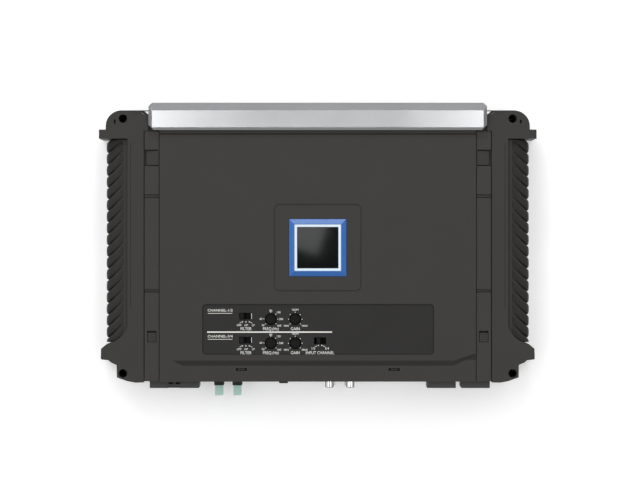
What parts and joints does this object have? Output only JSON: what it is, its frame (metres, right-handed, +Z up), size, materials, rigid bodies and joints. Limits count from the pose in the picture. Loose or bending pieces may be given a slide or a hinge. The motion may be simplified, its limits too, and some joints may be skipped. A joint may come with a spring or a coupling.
{
  "type": "car amplifier",
  "caption": "Flat multi-channel car audio power amplifier with ribbed side heatsinks, corner bolt holes, top controls and front connectors.",
  "frame": {"origin": "centre of the four mounting holes, on the plane the amplifier is bolted down on", "axes": "+X to the right, +Y towards the bright trim bar, away from the connectors, +Z up through the cover"},
  "size_m": [0.292, 0.1959, 0.06],
  "materials": {
    "case_metal": "satin black anodised extrusion",
    "fin_metal": "satin black, fine cast texture",
    "cap_plastic": "moulded, fine texture",
    "steel": "zinc plated",
    "black_steel": "black zinc",
    "panel_metal": "satin black sheet",
    "cover_plastic": "moulded, fine matt grain",
    "control_plastic": "matt",
    "bezel_blue": "satin blue metallic",
    "lit_frame": "clear light guide, lit white",
    "window_black": "polished",
    "board_green": "solder mask",
    "strip_plastic": "moulded, fine matt grain",
    "latch_plastic": "moulded",
    "trim_silver": "bright satin anodised",
    "brass": "plain",
    "ferrite": "powder coated",
    "copper": "enamelled copper wire",
    "capacitor_sleeve": "shrink sleeve",
    "black_resin": "moulded",
    "blue_resin": "moulded",
    "knob_black": "moulded",
    "fuse_green": "translucent",
    "tin": "tin plated",
    "nickel": "bright nickel plate",
    "insert_white": "moulded",
    "terminal_plastic": "moulded"
  },
  "bodies": {
    "case": {"chassis": "case_metal", "fin_block_left": "fin_metal", "fin_block_right": "fin_metal", "end_cap_left": "cap_plastic", "end_cap_right": "cap_plastic", "end_cap_screws": "steel", "mounting_sleeves": "steel", "rear_panel": "panel_metal", "front_panel": "panel_metal", "panel_screws": "black_steel", "top_cover": "cover_plastic", "cover_screws": "black_steel", "control_plate": "control_plastic", "badge_bezel": "bezel_blue", "badge_frame": "lit_frame", "badge_window": "window_black", "badge_light_board": "board_green", "side_strip_left": "strip_plastic", "side_strip_right": "strip_plastic", "trim_bar": "trim_silver", "trim_bar_screws": "steel", "main_board": "board_green", "board_standoffs": "brass", "board_screws": "steel", "transformer_core": "ferrite", "transformer_winding": "copper", "filter_capacitors": "capacitor_sleeve", "output_coils": "copper", "power_transistors": "black_resin", "transistor_clamps": "steel", "clamp_screws": "steel", "control_board": "board_green", "board_link": "black_resin", "pot_bodies": "blue_resin", "switch_bodies": "black_resin", "fuse_holder": "black_resin", "rca_housing": "black_resin", "rca_shells": "nickel", "rca_inserts": "insert_white", "remote_jack": "black_resin", "power_block": "terminal_plastic", "power_plates": "brass", "power_screws": "steel", "speaker_blocks": "terminal_plastic", "speaker_plates": "brass", "speaker_screws": "steel"},
    "knob_freq_back": {"knob_freq_back": "knob_black"},
    "knob_freq_front": {"knob_freq_front": "knob_black"},
    "knob_gain_back": {"knob_gain_back": "knob_black"},
    "knob_gain_front": {"knob_gain_front": "knob_black"},
    "slider_filter_back": {"slider_filter_back": "knob_black"},
    "slider_filter_front": {"slider_filter_front": "knob_black"},
    "slider_input": {"slider_input": "knob_black"},
    "fuse_left": {"fuse_left": "fuse_green", "fuse_left_blades": "tin"},
    "fuse_right": {"fuse_right": "fuse_green", "fuse_right_blades": "tin"},
    "latch_left": {"latch_left": "latch_plastic"},
    "latch_right": {"latch_right": "latch_plastic"}
  },
  "joints": [
    {"name": "knob_freq_back_turn", "type": "hinge", "parent": "case", "child": "knob_freq_back", "pos_m": [-0.0313, -0.0488, 0.05], "axis": [0, 0, 1], "range_deg": [-145, 145]},
    {"name": "knob_freq_front_turn", "type": "hinge", "parent": "case", "child": "knob_freq_front", "pos_m": [-0.0313, -0.0648, 0.05], "axis": [0, 0, 1], "range_deg": [-145, 145]},
    {"name": "knob_gain_back_turn", "type": "hinge", "parent": "case", "child": "knob_gain_back", "pos_m": [-0.015, -0.0488, 0.05], "axis": [0, 0, 1], "range_deg": [-140, 140]},
    {"name": "knob_gain_front_turn", "type": "hinge", "parent": "case", "child": "knob_gain_front", "pos_m": [-0.015, -0.0648, 0.05], "axis": [0, 0, 1], "range_deg": [-140, 140]},
    {"name": "slider_filter_back_slide", "type": "slide", "parent": "case", "child": "slider_filter_back", "axis": [1, 0, 0], "range_m": [0, 0.0046]},
    {"name": "slider_filter_front_slide", "type": "slide", "parent": "case", "child": "slider_filter_front", "axis": [1, 0, 0], "range_m": [0, 0.0046]},
    {"name": "slider_input_slide", "type": "slide", "parent": "case", "child": "slider_input", "axis": [1, 0, 0], "range_m": [0, 0.0022]},
    {"name": "fuse_left_pull", "type": "slide", "parent": "case", "child": "fuse_left", "axis": [0, -1, 0], "range_m": [0, 0.02]},
    {"name": "fuse_right_pull", "type": "slide", "parent": "case", "child": "fuse_right", "axis": [0, -1, 0], "range_m": [0, 0.02]},
    {"name": "latch_left_press", "type": "slide", "parent": "case", "child": "latch_left", "axis": [0, 0, -1], "range_m": [0, 0.0015], "stiffness_N_per_m": 400, "springref_m": -0.002},
    {"name": "latch_right_press", "type": "slide", "parent": "case", "child": "latch_right", "axis": [0, 0, -1], "range_m": [0, 0.0015], "stiffness_N_per_m": 400, "springref_m": -0.002}
  ]
}
